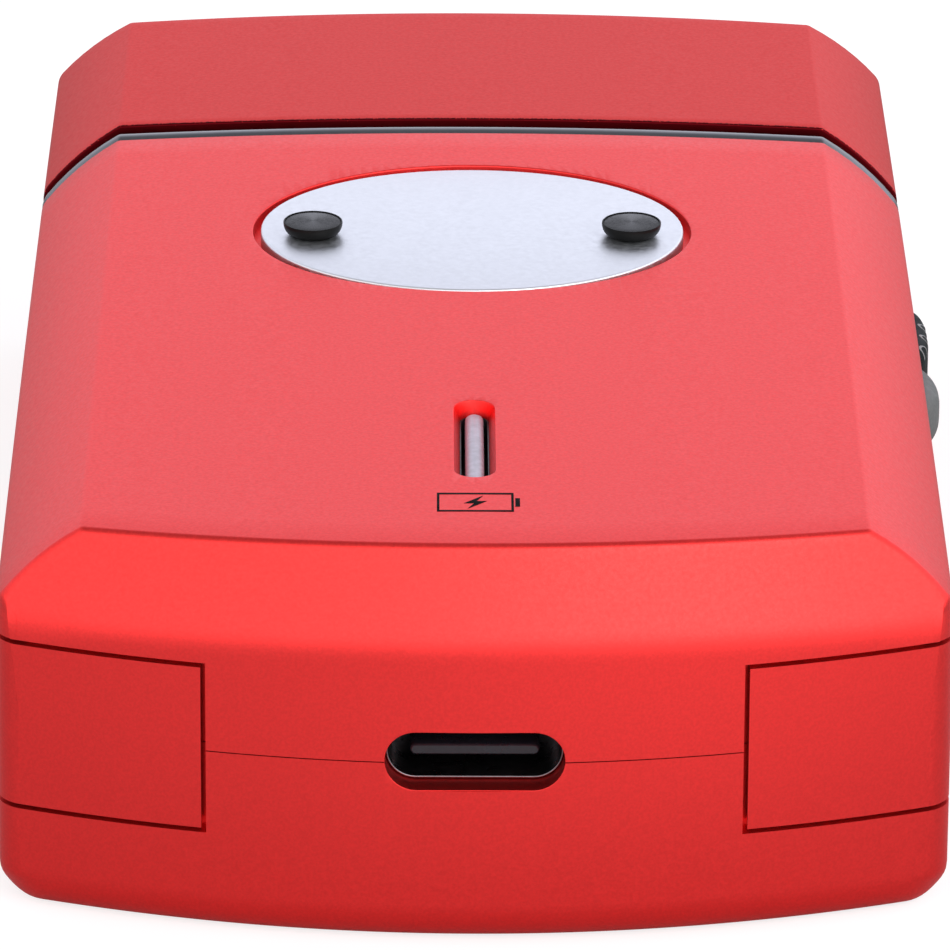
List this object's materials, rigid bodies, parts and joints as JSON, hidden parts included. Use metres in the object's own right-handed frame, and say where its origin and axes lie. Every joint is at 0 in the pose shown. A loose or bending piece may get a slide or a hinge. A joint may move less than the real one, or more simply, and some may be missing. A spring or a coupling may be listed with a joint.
{
  "type": "electric foil shaver",
  "caption": "Compact rechargeable foil shaver lying on its back, with a pull-off cap, bevelled metal shells, side slider and button, and a sprung foil head.",
  "frame": {"origin": "centre of the flat back face, half way between the charging end and the cap end", "axes": "+X towards the side controls, +Y along the shaver from the charging socket to the cap, +Z out of the front face"},
  "size_m": [0.0537, 0.093, 0.0236],
  "materials": {
    "red_shell": "satin red metallic coating over a cast shell, with a very fine grain",
    "trim_silver": "polished silver bead",
    "rubber_seal": "matt black rubber",
    "badge_metal": "bright satin plate with a cool tint",
    "dark_screw": "dark gunmetal with turned rings",
    "steel": "plain bright steel",
    "motor_steel": "zinc-plated drawn can",
    "receptacle_steel": "nickel-plated folded sheet",
    "black_plastic": "matt moulded black plastic",
    "slider_black": "fine-textured black with raised ribs",
    "button_grey": "smooth satin grey",
    "clear_pipe": "frosted clear light pipe",
    "white_plastic": "natural white moulded plastic",
    "board_green": "green solder mask",
    "cell_wrap": "silver-grey pouch laminate",
    "switch_steel": "tinned switch case",
    "foil_gold": "thin perforated foil with a warm hypoallergenic coating",
    "blade_steel": "ground blade steel"
  },
  "bodies": {
    "housing": {"front_shell": "red_shell", "back_shell": "red_shell", "trim_ring": "trim_silver", "neck_gasket": "rubber_seal", "badge_plate": "badge_metal", "badge_screw_left": "dark_screw", "badge_screw_right": "dark_screw", "corner_cover_left": "red_shell", "corner_cover_right": "red_shell", "front_shell_screw_left": "steel", "front_shell_screw_right": "steel", "back_shell_screw_left": "steel", "back_shell_screw_right": "steel", "foil_spring_left": "steel", "foil_spring_right": "steel", "light_pipe": "clear_pipe", "button_spring": "steel", "neck_collar": "black_plastic", "motor_bracket": "black_plastic", "inner_frame": "white_plastic", "circuit_board": "board_green", "status_led": "white_plastic", "battery_cell": "cell_wrap", "battery_pad": "rubber_seal", "usb_receptacle": "receptacle_steel", "usb_tongue": "black_plastic", "slide_switch": "switch_steel", "tact_switch": "black_plastic", "motor_can": "motor_steel"},
    "cap": {"cap_shell": "red_shell", "cap_liner": "black_plastic"},
    "power_slider": {"slider_grip": "slider_black", "slider_carrier": "black_plastic"},
    "lock": {"lock_button": "button_grey"},
    "rotor": {"motor_shaft": "steel"},
    "oscillator": {"bridge": "white_plastic"},
    "cutter": {"cutter_block": "blade_steel"},
    "foil_cassette": {"foil": "foil_gold", "foil_frame": "black_plastic"}
  },
  "joints": [
    {"name": "cap_pull", "type": "slide", "parent": "housing", "child": "cap", "axis": [0, 1, 0], "range_m": [0, 0.03]},
    {"name": "power_slide", "type": "slide", "parent": "housing", "child": "power_slider", "axis": [0, 1, 0], "range_m": [0, 0.003]},
    {"name": "lock_press", "type": "slide", "parent": "housing", "child": "lock", "axis": [-1, 0, 0], "range_m": [0, 0.0007], "stiffness_N_per_m": 300, "deforming": ["button_spring"]},
    {"name": "motor_spin", "type": "hinge", "parent": "housing", "child": "rotor", "pos_m": [0, 0.02, 0.0115], "axis": [0, 1, 0], "continuous": true},
    {"name": "cutter_oscillation", "type": "slide", "parent": "housing", "child": "oscillator", "axis": [1, 0, 0], "range_m": [-0.00125, 0.00125]},
    {"name": "foil_press", "type": "slide", "parent": "housing", "child": "foil_cassette", "axis": [0, -1, 0], "range_m": [0, 0.0008], "stiffness_N_per_m": 600, "deforming": ["foil_spring_left", "foil_spring_right"]},
    {"name": "cutter_float", "type": "slide", "parent": "oscillator", "child": "cutter", "axis": [0, -1, 0], "range_m": [0, 0.0008]}
  ],
  "couplings": [
    {"joint": "cutter_float", "follows": "foil_press", "ratio": 1}
  ]
}
